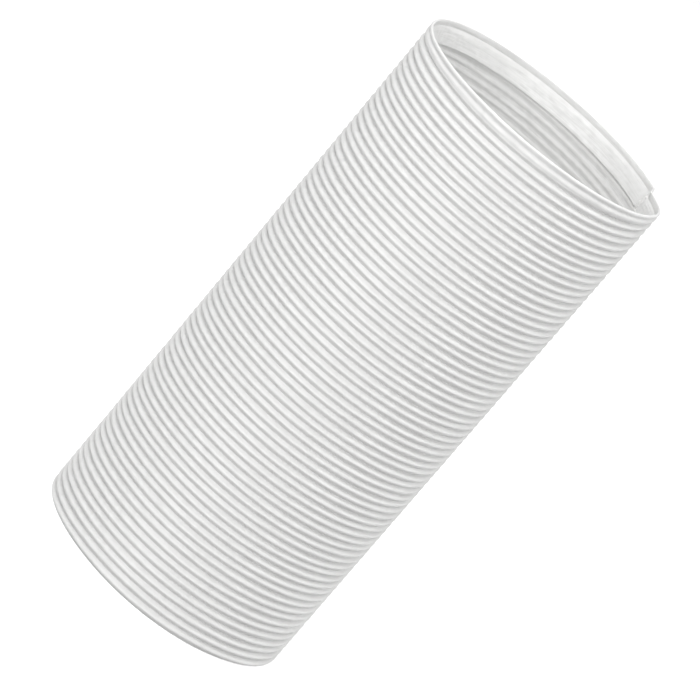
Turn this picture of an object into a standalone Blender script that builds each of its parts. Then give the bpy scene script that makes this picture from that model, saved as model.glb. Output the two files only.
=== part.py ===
"""Exhaust hose of a portable air conditioner: one wound plastic strip, pushed together, standing on its end.

Metres, +Z up. The hose's axis is Z and its lower end lies on Z = 0.
"""

import math

import bmesh
import bpy

# Driving dimensions
OUTSIDE_DIAMETER = 0.150  # over the crests of the waves
WALL = 0.0030  # crest to bore, through the nested turns
LENGTH = 0.316
PITCH = 0.004503  # from one turn of the strip to the next
WAVE_DEPTH = 0.0015  # crest to groove
FIRST_GROOVE_HEIGHT = 0.0020  # of the lowest groove at the front, where the angle is 270 degrees
RIM_HEIGHT = 0.0064  # level turn that squares the upper end
RIM_BEAD_HEIGHT = 0.0024  # top edge to the rim's own groove
RIM_GROOVE_DEPTH = 0.0005
RIM_WALL = 0.0016  # thickness of the strip's last turn at the top edge
LIP_HEIGHT = 0.0034  # upright part of the last turn's inner face
BAND_HEIGHT = 0.0104  # smooth flange below the lip, leaning inwards
BAND_STEP = 0.0006  # how far the band's lower edge stands in from the bore
STRIP_END_ANGLE = 28.0  # degrees, where the strip is cut off at the rim
GAP_ANGLE = 20.0  # degrees without the band beside that cut
GAP_DEPTH = 0.0005  # how far the gap's floor lies behind the bore
RAMP_ANGLE = 40.0  # degrees over which the rim runs down to the cut
RAMP_DROP = 0.0024  # how low the rim is at the foot of the ramp

# Fineness of the solids
SEGMENTS = 40  # flats around the hose
OVERLAP = 0.0008  # how far joined shapes reach into each other
CLEARANCE = 0.0050  # how far the cutters reach past the hose
HAIR = 0.0001  # keeps a cutting face off the face beside it
SAME_POINT = 0.00001  # points nearer than this are one

PLASTIC_COLOUR = (0.87, 0.87, 0.86, 1.0)
PLASTIC_ROUGHNESS = 0.42

OUTER_RADIUS = OUTSIDE_DIAMETER / 2
BORE_RADIUS = OUTER_RADIUS - WALL
LIP_RADIUS = OUTER_RADIUS - RIM_WALL
BAND_RADIUS = BORE_RADIUS - BAND_STEP
BAND_BASE = LENGTH - LIP_HEIGHT - BAND_HEIGHT
GROOVE_RADIUS = OUTER_RADIUS - WAVE_DEPTH
RIM_BASE = LENGTH - RIM_HEIGHT
FRONT_TURN = 270.0 / 360.0
FULL_TURN = 360.0


def clear_scene():
    for thing in list(bpy.data.objects):
        bpy.data.objects.remove(thing, do_unlink=True)


def plastic():
    """White polypropylene, a little glossy."""
    material = bpy.data.materials.new("white_polypropylene")
    material.use_nodes = True
    shader = material.node_tree.nodes["Principled BSDF"]
    shader.inputs["Base Color"].default_value = PLASTIC_COLOUR
    shader.inputs["Roughness"].default_value = PLASTIC_ROUGHNESS
    shader.inputs["Metallic"].default_value = 0.0
    material.diffuse_color = PLASTIC_COLOUR
    return material


def cutters():
    """The collection of the shapes that only cut or join."""
    collection = bpy.data.collections.get("cutters")
    if collection is None:
        collection = bpy.data.collections.new("cutters")
        bpy.context.scene.collection.children.link(collection)
    return collection


def turned(name, profile, closed=False, start=0.0, angle=FULL_TURN, rise=0.0, turns=1):
    """An object whose profile, points of (radius, height), is turned about Z by a Screw modifier."""
    edges = [(i, i + 1) for i in range(len(profile) - 1)]
    if closed:
        edges.append((len(profile) - 1, 0))
    mesh = bpy.data.meshes.new(name)
    mesh.from_pydata([(radius, 0.0, height) for radius, height in profile], edges, [])
    thing = bpy.data.objects.new(name, mesh)
    thing.rotation_euler.z = math.radians(start)
    screw = thing.modifiers.new("turn", "SCREW")
    screw.angle = math.radians(angle)
    screw.screw_offset = rise
    screw.iterations = turns
    screw.steps = screw.render_steps = max(2, round(SEGMENTS * angle / FULL_TURN))
    screw.use_merge_vertices = rise == 0.0 and angle == FULL_TURN
    screw.merge_threshold = SAME_POINT
    return thing


def thicken(thing, thickness):
    """Gives an open sheet its thickness, inwards."""
    wall = thing.modifiers.new("wall", "SOLIDIFY")
    wall.thickness = thickness
    wall.offset = -1.0


def as_cutter(thing):
    thing.hide_render = True
    thing.display_type = "WIRE"
    cutters().objects.link(thing)
    return thing


def combine(thing, operation, other):
    step = thing.modifiers.new(other.name, "BOOLEAN")
    step.operation = operation
    step.solver = "EXACT"
    step.object = as_cutter(other)


def wound_wall():
    """The waves: a zigzag one pitch tall, wound about Z from below the lower end to past the rim's base.

    It starts and ends on a crest, so that the wall's thickness leans away from it at both ends.
    """
    lowest = FIRST_GROOVE_HEIGHT - PITCH * FRONT_TURN - PITCH / 2
    lowest -= PITCH * math.ceil((lowest + PITCH) / PITCH)
    turns = math.ceil((LENGTH - lowest) / PITCH)
    wave = [
        (OUTER_RADIUS, lowest + PITCH),
        (GROOVE_RADIUS, lowest + PITCH / 2),
        (OUTER_RADIUS, lowest),
    ]
    wall = turned("exhaust_hose", wave, rise=PITCH, turns=turns)
    seam = wall.modifiers.new("join turns", "WELD")
    seam.merge_threshold = SAME_POINT
    thicken(wall, OUTER_RADIUS - BAND_RADIUS + OVERLAP)
    return wall


def cylinder(name, radius, bottom, top):
    """An upright cylinder on the hose's axis."""
    mesh = bpy.data.meshes.new(name)
    shape = bmesh.new()
    bmesh.ops.create_cone(
        shape, cap_ends=True, segments=SEGMENTS, radius1=radius, radius2=radius, depth=top - bottom
    )
    shape.to_mesh(mesh)
    shape.free()
    thing = bpy.data.objects.new(name, mesh)
    thing.location.z = (bottom + top) / 2
    return thing


def last_turn():
    """The level turn at the upper end, with a bead above a shallow groove. Its inner face is cut later."""
    inner = BAND_RADIUS - OVERLAP / 2
    section = [
        (OUTER_RADIUS, LENGTH),
        (OUTER_RADIUS - RIM_GROOVE_DEPTH, LENGTH - RIM_BEAD_HEIGHT),
        (OUTER_RADIUS, LENGTH - 2 * RIM_BEAD_HEIGHT),
        (GROOVE_RADIUS - OVERLAP / 2, RIM_BASE),
        (inner, RIM_BASE),
        (inner, LENGTH),
    ]
    return turned("last_turn", section, closed=True)


def bore():
    """What the hose is hollow of: the straight bore, and the lip and the leaning band above it."""
    above = LENGTH + CLEARANCE
    profile = [
        (0.0, above),
        (LIP_RADIUS, above),
        (LIP_RADIUS, LENGTH - LIP_HEIGHT),
        (BAND_RADIUS, BAND_BASE),
        (BORE_RADIUS, BAND_BASE - BAND_STEP),
        (BORE_RADIUS, -CLEARANCE),
        (0.0, -CLEARANCE),
    ]
    return turned("bore", profile)


def band_gap():
    """The block that takes the band away beside the strip's cut end."""
    lower_edge = BAND_BASE - 2 * BAND_STEP
    line = [(LIP_RADIUS - OVERLAP / 2, LENGTH + HAIR), (BORE_RADIUS + GAP_DEPTH, lower_edge)]
    start = STRIP_END_ANGLE - GAP_ANGLE
    block = turned("band_gap", line, start=start, angle=GAP_ANGLE)
    thicken(block, CLEARANCE)
    return block


def strip_ramp():
    """The block above the rim's ramp, which runs down to the strip's cut end."""
    radius = OUTER_RADIUS + CLEARANCE
    line = [(radius, LENGTH + CLEARANCE), (radius, LENGTH + HAIR)]
    start = STRIP_END_ANGLE - RAMP_ANGLE
    block = turned("strip_ramp", line, start=start, angle=RAMP_ANGLE, rise=-RAMP_DROP - HAIR)
    thicken(block, WALL + 2 * CLEARANCE)
    return block


def build_hose():
    hose = wound_wall()
    bpy.context.scene.collection.objects.link(hose)
    hose.data.materials.append(plastic())
    around = OUTER_RADIUS + CLEARANCE
    combine(hose, "INTERSECT", cylinder("wound_length", around, 0.0, RIM_BASE + OVERLAP))
    combine(hose, "UNION", last_turn())
    combine(hose, "DIFFERENCE", bore())
    combine(hose, "DIFFERENCE", band_gap())
    combine(hose, "DIFFERENCE", strip_ramp())
    return hose


def main():
    clear_scene()
    build_hose()


main()
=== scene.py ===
"""Looks of a white exhaust hose for a portable air conditioner, with its stage, light and camera.

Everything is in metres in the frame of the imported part: the hose's axis is Z, and its lower end lies on
Z = 0. Angles run round Z from +X, so 270 degrees faces the camera.
"""

import math

import bpy
import numpy as np
from mathutils import Matrix, Vector


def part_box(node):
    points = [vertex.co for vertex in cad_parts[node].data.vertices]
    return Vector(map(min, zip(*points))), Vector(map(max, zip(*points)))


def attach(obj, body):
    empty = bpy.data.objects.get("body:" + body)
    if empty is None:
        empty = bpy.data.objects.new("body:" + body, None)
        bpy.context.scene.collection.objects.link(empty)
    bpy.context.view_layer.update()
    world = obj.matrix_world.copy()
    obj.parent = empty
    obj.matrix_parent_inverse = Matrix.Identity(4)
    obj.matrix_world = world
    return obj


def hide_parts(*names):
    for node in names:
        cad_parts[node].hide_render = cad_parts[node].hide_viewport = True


bl_info = {
    "name": "Exhaust hose",
    "version": (1, 0, 0),
    "blender": (4, 5, 0),
    "location": "3D View > Sidebar > Exhaust hose",
    "description": "Builds the wound plastic hose and the stage that it stands on",
    "category": "Object",
}

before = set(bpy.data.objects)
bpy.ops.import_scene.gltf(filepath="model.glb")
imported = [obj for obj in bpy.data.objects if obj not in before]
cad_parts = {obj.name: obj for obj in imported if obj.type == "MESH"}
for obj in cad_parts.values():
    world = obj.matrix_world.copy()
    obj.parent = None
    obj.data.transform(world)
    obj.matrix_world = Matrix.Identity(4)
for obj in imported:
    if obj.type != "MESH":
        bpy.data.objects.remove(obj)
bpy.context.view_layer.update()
FRAME_LOW, FRAME_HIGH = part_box("exhaust_hose")
WHITE = (1.0, 1.0, 1.0, 1.0)


def linear(code):
    """An sRGB hex colour as linear red, green and blue."""
    parts = [int(code[i : i + 2], 16) / 255.0 for i in (1, 3, 5)]
    return tuple(p / 12.92 if p <= 0.04045 else ((p + 0.055) / 1.055) ** 2.4 for p in parts)


class HoseSizes(bpy.types.PropertyGroup):
    """Sizes and colour of the hose."""

    diameter: bpy.props.FloatProperty(
        name="Outside diameter",
        description="Over the crests of the waves",
        default=FRAME_HIGH.x - FRAME_LOW.x,
        unit="LENGTH",
    )
    length: bpy.props.FloatProperty(
        name="Length",
        description="From the lower end to the rim",
        default=FRAME_HIGH.z - FRAME_LOW.z,
        unit="LENGTH",
    )
    pitch: bpy.props.FloatProperty(
        name="Pitch",
        description="From one turn of the strip to the next",
        default=0.004503,
        unit="LENGTH",
        precision=5,
    )
    wave_depth: bpy.props.FloatProperty(
        name="Wave depth",
        description="From the crests to the grooves",
        default=0.0017,
        unit="LENGTH",
        precision=4,
    )
    wall: bpy.props.FloatProperty(
        name="Wall",
        description="From the crests to the bore, through the nested turns",
        default=0.0030,
        unit="LENGTH",
        precision=4,
    )
    first_groove: bpy.props.FloatProperty(
        name="First groove",
        description="Height of the lowest groove at the front",
        default=0.0020,
        unit="LENGTH",
        precision=4,
    )
    rim_height: bpy.props.FloatProperty(
        name="Rim height",
        description="The level turn at the upper end",
        default=0.0064,
        unit="LENGTH",
        precision=4,
    )
    rim_wall: bpy.props.FloatProperty(
        name="Rim wall",
        description="Thickness of the strip's last turn at the top edge",
        default=0.0016,
        unit="LENGTH",
        precision=4,
    )
    lip_height: bpy.props.FloatProperty(
        name="Lip height",
        description="Upright part of the rim's inner face",
        default=0.0034,
        unit="LENGTH",
        precision=4,
    )
    band_height: bpy.props.FloatProperty(
        name="Band height",
        description="Smooth flange below the lip, leaning inwards",
        default=0.0104,
        unit="LENGTH",
        precision=4,
    )
    band_step: bpy.props.FloatProperty(
        name="Band step",
        description="How far the band's lower edge stands in from the bore",
        default=0.0006,
        unit="LENGTH",
        precision=4,
    )
    ramp_drop: bpy.props.FloatProperty(
        name="Ramp drop",
        description="How low the rim lies where the strip is cut off",
        default=0.0024,
        unit="LENGTH",
        precision=4,
    )
    plastic: bpy.props.FloatVectorProperty(
        name="Plastic",
        description="Colour of the polypropylene",
        default=linear("#ECECEB"),
        subtype="COLOR",
        min=0.0,
        max=1.0,
    )


class StageSettings(bpy.types.PropertyGroup):
    """Floor, lights and camera distance."""

    floor: bpy.props.FloatVectorProperty(
        name="Floor",
        description="Colour of the opal sheet that the hose stands on",
        default=linear("#F7F7F7"),
        subtype="COLOR",
        min=0.0,
        max=1.0,
    )
    floor_size: bpy.props.FloatProperty(
        name="Floor size",
        description="Side of the opal sheet",
        default=12.0,
        unit="LENGTH",
    )
    floor_glow: bpy.props.FloatProperty(
        name="Floor glow",
        description="Light that comes up through the floor",
        default=0.5,
    )
    key_power: bpy.props.FloatProperty(
        name="Key light",
        description="Softbox high to the left of the camera, in watts",
        default=23.0,
    )
    low_power: bpy.props.FloatProperty(
        name="Low light",
        description="Softbox near the floor, left of the camera, in watts",
        default=13.0,
    )
    front_power: bpy.props.FloatProperty(
        name="Front light",
        description="Softbox to the right of the camera, in watts",
        default=17.0,
    )
    high_left_power: bpy.props.FloatProperty(
        name="High left light",
        description="Softbox high over the left side, in watts",
        default=23.0,
    )
    high_right_power: bpy.props.FloatProperty(
        name="High right light",
        description="Softbox high over the right side, in watts",
        default=26.0,
    )
    back_left_power: bpy.props.FloatProperty(
        name="Back left light",
        description="Softbox behind at the left, in watts",
        default=5.0,
    )
    back_right_power: bpy.props.FloatProperty(
        name="Back right light",
        description="Softbox behind at the right, in watts",
        default=11.0,
    )
    sky: bpy.props.FloatProperty(
        name="Sky",
        description="Strength of the plain white surroundings",
        default=0.25,
    )
    distance: bpy.props.FloatProperty(
        name="Camera distance",
        description="From the camera to the middle of the hose",
        default=2.0292,
        unit="LENGTH",
        precision=4,
    )


def smooth_step(x):
    """0 below 0, 1 above 1, and a cubic with level ends between: x squared times (3 - 2x)."""
    x = np.clip(x, 0.0, 1.0)
    return x * x * (3.0 - 2.0 * x)


# Columns of points round the hose, at angles in degrees
COLUMNS = 96  # besides those at the cut end
JOG_ANGLE = 8.0  # where the wound grids meet themselves, at the near side of the gap in the band
FRONT_ANGLE = 270.0
FULL_TURN = 360.0

# The strip's cut end at the rim: degrees and metres
CUT_ANGLE = 28.0
CUT_HALF_WIDTH = 0.2
SLOT_WIDTH = 1.8
SLOT_DEPTH = 0.0007
RAMP_ANGLE = 40.0

# Rows of points of one wave, as shares of a pitch from one groove to the next
OUTER_ROWS = np.array([0.0, 0.08, 0.17, 0.27, 0.38, 0.5, 0.62, 0.73, 0.83, 0.92])
INNER_ROWS = np.array([0.0, 0.2, 0.5, 0.8])
SPARE_TURNS = 3  # wound past both ends and cut off there
BEAD_POWER = 1.45  # of a sine: a higher one makes wider grooves
INNER_WAVE_DEPTH = 0.0006

# Unevenness of the wound turns: up and down in metres, and in depth as a share of it. It is made of two
# sines, each with its radians for every turn wound and the times that it repeats round the hose.
WAVER = 0.00024
DEPTH_WAVER = 0.25
DEPTH_WAVER_START = 1.1  # radians, so that the depth doesn't follow the height
FAST_SINE = (2.7, 3.0)
SLOW_SINE = (1.95, -5.0)

# How the turns settled when the hose was pushed together: metres up or down, and the shares of the length
# between which each change happens
FOOT_SINK, FOOT_REACH = 0.0026, (-0.03, 0.21)
MIDDLE_LIFT = 0.0005
RIM_SINK, RIM_REACH = 0.00105, (0.82, 0.95)
SIDE_SINK, SIDE_LIFT, SIDE_REACH = 0.0020, 0.0039, (0.47, 1.01)
TILT_LOW, TILT_MORE, TILT_REACH = 0.00025, 0.0005, (0.0, 0.75)
RIM_NARROWING = 0.0015

# The rim outside, from its base up: depth below the top edge, and how far in from the crests. A ridge, a
# shallow groove and a bead, which rounds over into the top edge.
RIM_OUTSIDE = (
    (0.0060, 0.00020),
    (0.0055, 0.00003),
    (0.0050, 0.0),
    (0.0044, 0.00010),
    (0.0038, 0.00042),
    (0.0033, 0.00070),
    (0.0029, 0.00078),
    (0.0024, 0.00062),
    (0.0018, 0.00026),
    (0.0012, 0.00010),
    (0.0007, 0.00014),
    (0.0003, 0.00032),
    (0.00006, 0.00058),
    (0.0, 0.0008),
)
# The top edge rounds over into the lip: depth below the top edge, and how far out from the lip's face
LIP_ROUNDING = ((0.0, 0.00045), (0.00004, 0.0002), (0.0002, 0.00004), (0.0005, 0.0))
# The crease between the lip and the band: depth below the lip's foot, and how far out from the lip's face
LIP_CREASE = ((-0.0004, 0.0), (-0.0001, 0.00012), (0.0001, 0.00010), (0.0004, -0.00014))
SLOPE_ROWS = (0.3, 0.7)  # on the band, as shares of its height
# The band's lower edge rounds over: depth below the band's foot, and how far out from the band's edge
BAND_ROUNDING = ((-0.0008, 0.0001), (-0.0003, 0.00004), (-0.00005, 0.00022), (0.0, 0.0005))
# The step back from the band to the bore: depth below the band's foot, and how far out from the bore
BAND_UNDERSIDE = ((0.0, 0.0002), (0.0009, 0.0003))
# The floor of the gap in the band
GAP_TOP_STEP = 0.0004  # at its top, in from the lip's face
GAP_FOOT_DEPTH = 0.0005  # at its foot, out from the bore
LEAST_DEPTH = 0.0002  # from the lip's last row down to the band's, where the rim drops to the cut
SLOT_TOP = 0.0003  # from the top edge down to the slot

MERGE_STEPS = 1e7  # steps a metre: points that round to the same step are merged


def column_angles():
    """Even steps round the hose from the jog, and three more columns at the strip's cut end."""
    even = JOG_ANGLE + np.arange(COLUMNS) * FULL_TURN / COLUMNS
    cut = np.array([CUT_ANGLE - SLOT_WIDTH, CUT_ANGLE - CUT_HALF_WIDTH, CUT_ANGLE + CUT_HALF_WIDTH])
    return np.sort(np.concatenate([even, cut]))


def unevenness(along, around, start):
    """A slow waver along the strip: the mean of two sines of the turns wound so far and the angle."""
    fast = np.sin(FAST_SINE[0] * along + FAST_SINE[1] * around + start)
    slow = np.sin(SLOW_SINE[0] * along + SLOW_SINE[1] * around + 2.0 * start)
    return 0.5 * fast + 0.5 * slow


def between(share, reach):
    """0 below the reach, 1 above it and a smooth step inside it."""
    return smooth_step((share - reach[0]) / (reach[1] - reach[0]))


def settling(share, around):
    """How far a turn lies off a true screw line, at a share of the length and an angle round the hose.

    It changes in smooth steps up the hose: the lowest turns lie low, and the highest ones a little. Added
    to that are the fourth power of the angle's cosine, because the sides lie lower than the front and near
    the rim higher, and the cosine itself, because the strip climbs less to the right than a true screw.
    """
    foot = FOOT_SINK * (1.0 - between(share, FOOT_REACH))
    front = MIDDLE_LIFT - foot - RIM_SINK * between(share, RIM_REACH)
    sides = SIDE_LIFT * between(share, SIDE_REACH) - SIDE_SINK
    tilt = TILT_LOW + TILT_MORE * between(share, TILT_REACH)
    return front + sides * np.cos(around) ** 4 - tilt * np.cos(around)


def wound_rows(sizes, rows, angles):
    """Heights, shares of the pitch and unevenness of depth of the rows of all turns at every angle.

    A row's height is the first groove's, plus the pitch times the turns wound since the front of the first
    turn, plus how the turns settled and a waver. Its share of the pitch runs from 0 in a groove to 1 in
    the next.
    """
    whole = np.arange(-SPARE_TURNS, math.ceil(sizes.length / sizes.pitch) + SPARE_TURNS)
    turn = (whole[:, None] + rows[None, :]).ravel()[:, None]
    gone_round = np.mod(angles - JOG_ANGLE, FULL_TURN)[None, :] / FULL_TURN
    before_front = np.mod(FRONT_ANGLE - JOG_ANGLE, FULL_TURN) / FULL_TURN
    along = turn + gone_round
    around = np.radians(angles)[None, :]
    height = sizes.first_groove + sizes.pitch * (along - before_front)
    height = height + settling(height / sizes.length, around) + WAVER * unevenness(along, around, 0.0)
    share = np.broadcast_to(np.tile(rows, len(whole))[:, None], height.shape)
    return height, share, unevenness(along, around, DEPTH_WAVER_START)


def bead(share):
    """A round bead between two narrow grooves: the sine of pi s, to a power."""
    return np.sin(np.pi * share) ** BEAD_POWER


def clamp_column_ends(height, radius, low, high):
    """Cuts every column of points off at a lower and an upper height.

    Points past an end move to where their column crosses it, so that they can be merged there.
    """
    columns = np.arange(height.shape[1])
    low = np.broadcast_to(low, columns.shape)
    high = np.broadcast_to(high, columns.shape)
    for level, below in ((low, True), (high, False)):
        outside = height < level if below else height > level
        count = outside.sum(axis=0)
        first = count if below else height.shape[0] - 1 - count
        other = first - 1 if below else first + 1
        step = (level - height[first, columns]) / (height[other, columns] - height[first, columns])
        crossing = radius[first, columns] + step * (radius[other, columns] - radius[first, columns])
        height = np.where(outside, level, height)
        radius = np.where(outside, crossing, radius)
    return height, radius


def ramp(sizes, angles):
    """How much lower the rim lies at an angle: a smooth step down to the strip's cut end, and 0 past it."""
    share = np.mod(angles - CUT_ANGLE + RAMP_ANGLE, FULL_TURN) / RAMP_ANGLE
    return np.where(share < 1.0, sizes.ramp_drop * smooth_step(share), 0.0)


def rim_heights(sizes, angles):
    """The rim's height at an angle: less at the sides, by the fourth power of the angle's cosine.

    The turns below it lie higher there.
    """
    return sizes.rim_height - RIM_NARROWING * np.cos(np.radians(angles)) ** 4


def rows_of(points, depth, radius, sign):
    """Depths and radii of some rows: their own values added to a depth and, with a sign, to a radius."""
    return [(depth + own_depth, radius + sign * own_radius) for own_depth, own_radius in points]


def as_grid(rows, width):
    """Depths and radii of the rows, each the same in every column."""
    depth = np.array([d for d, r in rows])[:, None]
    radius = np.array([r for d, r in rows])[:, None]
    return np.broadcast_to(depth, (len(rows), width)), np.broadcast_to(radius, (len(rows), width))


def rim_section(sizes, angles):
    """Rows of the rim, from its base outside, over the top edge and down the lip and the band inside.

    Each row has a depth below the top edge and a radius. The outside is squeezed where the rim is
    narrower. Towards the cut end the top edge drops. Beside it the band is missing, down to a floor that
    slopes straight from the lip to the bore, and along it there is a slot.
    """
    width = len(angles)
    outer = sizes.diameter / 2
    lip = outer - sizes.rim_wall
    bore = outer - sizes.wall
    edge = bore - sizes.band_step
    lip_foot = sizes.lip_height
    band_foot = sizes.lip_height + sizes.band_height
    drop = ramp(sizes, angles)[None, :]
    room = (rim_heights(sizes, angles)[None, :] - drop) / sizes.rim_height
    slope = [(lip_foot + part * sizes.band_height, lip + part * (edge - lip)) for part in SLOPE_ROWS]
    depth, radius = as_grid(rows_of(RIM_OUTSIDE, 0.0, outer, -1.0), width)
    depth_in, radius_in = as_grid(
        rows_of(LIP_ROUNDING, 0.0, lip, 1.0) + rows_of(LIP_CREASE, lip_foot, lip, 1.0), width
    )
    band_depth, band_radius = as_grid(
        slope
        + rows_of(BAND_ROUNDING, band_foot, edge, 1.0)
        + rows_of(BAND_UNDERSIDE, band_foot, bore, 1.0),
        width,
    )
    depth = depth * room + drop
    depth_in = depth_in + drop
    in_gap = ((angles > JOG_ANGLE) & (angles < CUT_ANGLE))[None, :]
    slot = SLOT_DEPTH * ((angles > CUT_ANGLE - SLOT_WIDTH) & (angles < CUT_ANGLE))[None, :]
    share = np.clip((band_depth - lip_foot) / sizes.band_height, 0.0, 1.0)
    gap_top = lip - GAP_TOP_STEP
    gap_foot = bore + GAP_FOOT_DEPTH
    gap_radius = gap_top + share * (gap_foot - gap_top)
    band_radius = np.where(in_gap, np.maximum(gap_radius, band_radius), band_radius) + slot
    band_depth = np.maximum(band_depth, depth_in[-1:] + LEAST_DEPTH)
    radius_in = radius_in + slot * (depth_in > drop + SLOT_TOP)
    heights = sizes.length - np.concatenate([depth, depth_in, band_depth])
    return heights, np.concatenate([radius, radius_in, band_radius])


def grid_faces(height_count, width, shift):
    """Quads of a grid that closes round its width: the last column meets the first one, shifted up."""
    row = np.arange(height_count - 1)[:, None]
    column = np.arange(width)[None, :]
    last = column == width - 1
    beside = np.where(last, 0, column + 1)
    low = np.clip(np.where(last, row + shift, row), 0, height_count - 1)
    high = np.clip(np.where(last, row + 1 + shift, row + 1), 0, height_count - 1)
    corners = [
        row * width + column,
        low * width + beside,
        high * width + beside,
        (row + 1) * width + column,
    ]
    filled = [np.broadcast_to(corner, (height_count - 1, width)) for corner in corners]
    return np.stack(filled, axis=-1).reshape(-1, 4)


def mesh_object(name, points, quads, sharp_degrees):
    """A mesh of the quads, with points in the same place merged and quads without width made triangles."""
    places = np.round(points * MERGE_STEPS)
    _, first, merged = np.unique(places, axis=0, return_index=True, return_inverse=True)
    corners = merged.ravel()[quads]
    repeated = corners == np.roll(corners, -1, axis=1)
    sides = 4 - repeated.sum(axis=1)
    four_sided = corners[sides == 4]
    three_sided = corners[sides == 3][~repeated[sides == 3]].reshape(-1, 3)
    mesh = bpy.data.meshes.new(name)
    mesh.from_pydata(points[first], [], four_sided.tolist() + three_sided.tolist())
    mesh.validate()
    mesh.shade_smooth()
    mesh.set_sharp_from_angle(angle=math.radians(sharp_degrees))
    thing = bpy.data.objects.new(name, mesh)
    bpy.context.scene.collection.objects.link(thing)
    return thing


def hose_surface(sizes):
    """Points and quads of the whole hose: outer waves, rim, inner waves and the flat lower end.

    Each part is a grid of points at (radius cos angle, radius sin angle, height). Outside, the radius is
    that of the crests, less the uneven wave depth times 1 minus the bead. Inside, it is the bore's, plus
    half a sine over each pitch. The wound grids meet themselves one turn higher up after going round once.
    """
    angles = column_angles()
    width = len(angles)
    outer = sizes.diameter / 2
    bore = outer - sizes.wall
    rim_height, rim_radius = rim_section(sizes, angles)
    base = sizes.length - rim_heights(sizes, angles)
    height, share, uneven = wound_rows(sizes, OUTER_ROWS, angles)
    radius = outer - sizes.wave_depth * (1.0 + DEPTH_WAVER * uneven) * (1.0 - bead(share))
    height, radius = clamp_column_ends(height, radius, 0.0, base)
    inner_height, inner_share, _ = wound_rows(sizes, INNER_ROWS, angles)
    inner_radius = bore + INNER_WAVE_DEPTH * np.sin(np.pi * inner_share)
    top = rim_height[-1].min()
    inner_height, inner_radius = clamp_column_ends(inner_height, inner_radius, 0.0, top)
    rim_height = np.vstack([height[-1:], rim_height, inner_height[-1:]])
    rim_radius = np.vstack([radius[-1:], rim_radius, inner_radius[-1:]])
    foot_height = np.vstack([inner_height[:1], height[:1]])
    foot_radius = np.vstack([inner_radius[:1], radius[:1]])
    parts = [
        (height, radius, len(OUTER_ROWS)),
        (rim_height, rim_radius, 0),
        (inner_height[::-1], inner_radius[::-1], -len(INNER_ROWS)),
        (foot_height, foot_radius, 0),
    ]
    around = np.radians(angles)[None, :]
    points, quads, start = [], [], 0
    for heights, radii, shift in parts:
        rows = len(heights)
        cloud = np.stack([radii * np.cos(around), radii * np.sin(around), heights], axis=-1)
        points.append(cloud.reshape(-1, 3))
        faces = grid_faces(rows, width, shift)
        quads.append(faces + start)
        start += rows * width
    return np.concatenate(points), np.concatenate(quads)


def node(tree, kind, settings=None, inputs=None):
    """Adds a node with its settings, and values or links for its sockets."""
    made = tree.nodes.new(kind)
    for name, value in (settings or {}).items():
        setattr(made, name, value)
    for name, value in (inputs or {}).items():
        if isinstance(value, bpy.types.NodeSocket):
            tree.links.new(value, made.inputs[name])
        else:
            made.inputs[name].default_value = value
    return made


def blank_material(name):
    """A material with an empty node tree."""
    material = bpy.data.materials.new(name)
    material.use_nodes = True
    material.node_tree.nodes.clear()
    return material


# The plastic's relief, in metres: the draw lines and the patches that were pressed into it
DRAW_LINE_LENGTH = 0.02222  # round the hose
DRAW_LINE_WIDTH = 0.001587  # up the hose, wider than the real ones of about 0.3 mm, so that they show
PATCH_SIZE = 0.006667
PATCH_STRENGTH = 3.0  # against the draw lines


def extruded_polypropylene(colour):
    """White polypropylene, extruded as a strip and wound warm.

    To the eye: a clean, slightly milky white with a soft sheen, fine draw lines along the strip, which
    also make the sheen uneven, and faint patches where the turns were pressed together.
    """
    material = blank_material("white_extruded_polypropylene")
    tree = material.node_tree
    place = node(tree, "ShaderNodeTexCoord")
    stretch = (1.0, 1.0, DRAW_LINE_LENGTH / DRAW_LINE_WIDTH)
    draw = node(tree, "ShaderNodeMapping", inputs={"Vector": place.outputs["Object"], "Scale": stretch})
    lines = node(
        tree,
        "ShaderNodeTexNoise",
        inputs={
            "Vector": draw.outputs["Vector"],
            "Scale": 1.0 / DRAW_LINE_LENGTH,
            "Detail": 2.0,
            "Roughness": 0.5,
        },
    )
    patches = node(
        tree,
        "ShaderNodeTexNoise",
        inputs={"Vector": place.outputs["Object"], "Scale": 1.0 / PATCH_SIZE, "Detail": 1.0},
    )
    gloss = node(
        tree,
        "ShaderNodeMapRange",
        inputs={
            "Value": lines.outputs["Fac"],
            "From Min": 0.3,
            "From Max": 0.7,
            "To Min": 0.36,
            "To Max": 0.48,
        },
    )
    relief = node(
        tree,
        "ShaderNodeMath",
        {"operation": "MULTIPLY_ADD"},
        {0: patches.outputs["Fac"], 1: PATCH_STRENGTH, 2: lines.outputs["Fac"]},
    )
    bump = node(
        tree,
        "ShaderNodeBump",
        inputs={"Height": relief.outputs["Value"], "Strength": 0.6, "Distance": 0.0005},
    )
    shader = node(
        tree,
        "ShaderNodeBsdfPrincipled",
        inputs={
            "Base Color": (*colour, 1.0),
            "Roughness": gloss.outputs["Result"],
            "IOR": 1.49,
            "Normal": bump.outputs["Normal"],
        },
    )
    node(tree, "ShaderNodeOutputMaterial", inputs={"Surface": shader.outputs["BSDF"]})
    return material


def opal_acrylic(colour, glow):
    """Opal acrylic, cast as a sheet with a matt face and lit from below: an even white without shadows."""
    material = blank_material("opal_acrylic")
    tree = material.node_tree
    shader = node(
        tree,
        "ShaderNodeBsdfPrincipled",
        inputs={
            "Base Color": (*colour, 1.0),
            "Roughness": 0.95,
            "Specular IOR Level": 0.1,
            "Emission Color": WHITE,
            "Emission Strength": glow,
        },
    )
    node(tree, "ShaderNodeOutputMaterial", inputs={"Surface": shader.outputs["BSDF"]})
    return material


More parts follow.
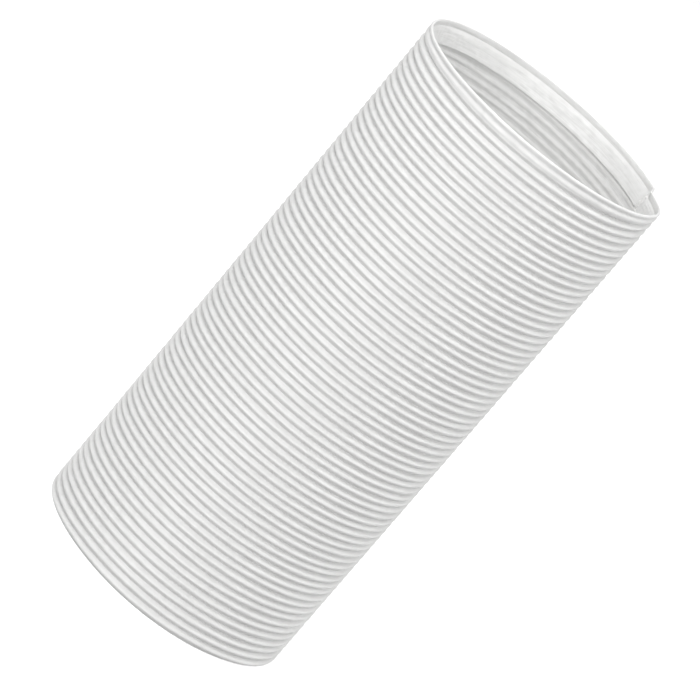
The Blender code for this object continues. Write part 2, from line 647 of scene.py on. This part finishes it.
class EXHAUST_OT_wound_hose(bpy.types.Operator):
    """Build the hose, wound from one strip of white polypropylene"""

    bl_idname = "exhaust.wound_hose"
    bl_label = "Wound hose"

    def execute(self, context):
        sizes = context.scene.hose_sizes
        points, quads = hose_surface(sizes)
        hose = mesh_object("wound_hose", points, quads, sharp_degrees=50.0)
        hose.data.materials.append(extruded_polypropylene(tuple(sizes.plastic)))
        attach(hose, "root")
        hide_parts("exhaust_hose")
        return {"FINISHED"}


# The camera looks slightly down at the hose, is turned about its line of sight and frames it off centre
CAMERA_ELEVATION = math.radians(16.73)
CAMERA_TURN = math.radians(40.31)
CAMERA_LENS = 203.1  # millimetres
SENSOR_WIDTH = 36.0  # millimetres
FRAME_RIGHT = 0.00141  # metres that the hose lies right of the picture's centre
FRAME_UP = 0.00182  # metres that it lies above that
FARTHEST_SEEN = 100.0

# Softboxes: name, and azimuth and elevation from the middle of the hose in degrees
SOFTBOXES = (
    ("key", 246.0, 45.0),
    ("low", 246.0, 5.0),
    ("front", 290.0, 15.0),
    ("high_left", 185.0, 65.0),
    ("high_right", 355.0, 65.0),
    ("back_left", 150.0, 15.0),
    ("back_right", 30.0, 15.0),
)
SOFTBOX_SIZE = 1.2
SOFTBOX_DISTANCE = 2.6


def aim(place, target):
    """The turn that points a light's -Z from its place to a target."""
    return (target - place).to_track_quat("-Z", "Y").to_euler()


def softbox(name, middle, azimuth, elevation, power):
    """A square area light, turned to the middle of the hose, at an azimuth and an elevation from there."""
    lamp = bpy.data.lights.new(name, "AREA")
    lamp.shape = "SQUARE"
    lamp.size = SOFTBOX_SIZE
    lamp.energy = power
    thing = bpy.data.objects.new(name, lamp)
    level = SOFTBOX_DISTANCE * math.cos(math.radians(elevation))
    height = SOFTBOX_DISTANCE * math.sin(math.radians(elevation))
    around = math.radians(azimuth)
    thing.location = middle + Vector((level * math.cos(around), level * math.sin(around), height))
    thing.rotation_euler = aim(thing.location, middle)
    thing.visible_camera = False
    bpy.context.scene.collection.objects.link(thing)


def photo_camera(middle, distance):
    """The camera: up the line of sight from the middle of the hose, with its own up turned to one side."""
    back = Vector((0.0, -math.cos(CAMERA_ELEVATION), math.sin(CAMERA_ELEVATION)))
    over = Vector((0.0, math.sin(CAMERA_ELEVATION), math.cos(CAMERA_ELEVATION)))
    across = Vector((1.0, 0.0, 0.0))
    up = math.cos(CAMERA_TURN) * over - math.sin(CAMERA_TURN) * across
    right = math.sin(CAMERA_TURN) * over + math.cos(CAMERA_TURN) * across
    lens = bpy.data.cameras.new("camera")
    lens.lens = CAMERA_LENS
    lens.sensor_width = SENSOR_WIDTH
    lens.clip_end = FARTHEST_SEEN
    camera = bpy.data.objects.new("camera", lens)
    turn = Matrix((right, up, back)).transposed().to_4x4()
    place = middle + back * distance - right * FRAME_RIGHT - up * FRAME_UP
    camera.matrix_world = Matrix.Translation(place) @ turn
    bpy.context.scene.collection.objects.link(camera)
    bpy.context.scene.camera = camera


class EXHAUST_OT_stage(bpy.types.Operator):
    """Build the pale floor, the soft studio light and the camera"""

    bl_idname = "exhaust.stage"
    bl_label = "Stage"

    def execute(self, context):
        scene = context.scene
        settings = scene.hose_stage
        half = settings.floor_size / 2
        corners = [(-half, -half, 0.0), (half, -half, 0.0), (half, half, 0.0), (-half, half, 0.0)]
        mesh = bpy.data.meshes.new("floor")
        mesh.from_pydata(corners, [], [(0, 1, 2, 3)])
        floor = bpy.data.objects.new("floor", mesh)
        floor.data.materials.append(opal_acrylic(tuple(settings.floor), settings.floor_glow))
        scene.collection.objects.link(floor)
        floor.visible_diffuse = False
        middle = Vector((0.0, 0.0, scene.hose_sizes.length / 2))
        for name, azimuth, elevation in SOFTBOXES:
            softbox(name, middle, azimuth, elevation, getattr(settings, name + "_power"))
        world = bpy.data.worlds.new("studio")
        world.use_nodes = True
        sky = world.node_tree.nodes["Background"]
        sky.inputs["Color"].default_value = WHITE
        sky.inputs["Strength"].default_value = settings.sky
        scene.world = world
        scene.view_settings.view_transform = "Standard"
        photo_camera(middle, settings.distance)
        return {"FINISHED"}


class EXHAUST_PT_panel(bpy.types.Panel):
    """The hose's pieces and stage in the sidebar"""

    bl_label = "Exhaust hose"
    bl_idname = "EXHAUST_PT_panel"
    bl_space_type = "VIEW_3D"
    bl_region_type = "UI"
    bl_category = "Exhaust hose"

    def draw(self, context):
        layout = self.layout
        for operator in OPERATORS:
            layout.operator(operator.bl_idname)
        for group in (context.scene.hose_sizes, context.scene.hose_stage):
            for name in group.__annotations__:
                layout.prop(group, name)


GROUPS = (HoseSizes, StageSettings)
OPERATORS = (EXHAUST_OT_wound_hose, EXHAUST_OT_stage)
CLASSES = GROUPS + OPERATORS + (EXHAUST_PT_panel,)


def register():
    for kind in CLASSES:
        bpy.utils.register_class(kind)
    bpy.types.Scene.hose_sizes = bpy.props.PointerProperty(type=HoseSizes)
    bpy.types.Scene.hose_stage = bpy.props.PointerProperty(type=StageSettings)


def unregister():
    del bpy.types.Scene.hose_stage
    del bpy.types.Scene.hose_sizes
    for kind in reversed(CLASSES):
        bpy.utils.unregister_class(kind)


def main():
    register()
    bpy.ops.exhaust.wound_hose()
    bpy.ops.exhaust.stage()


if __name__ == "__main__":
    main()
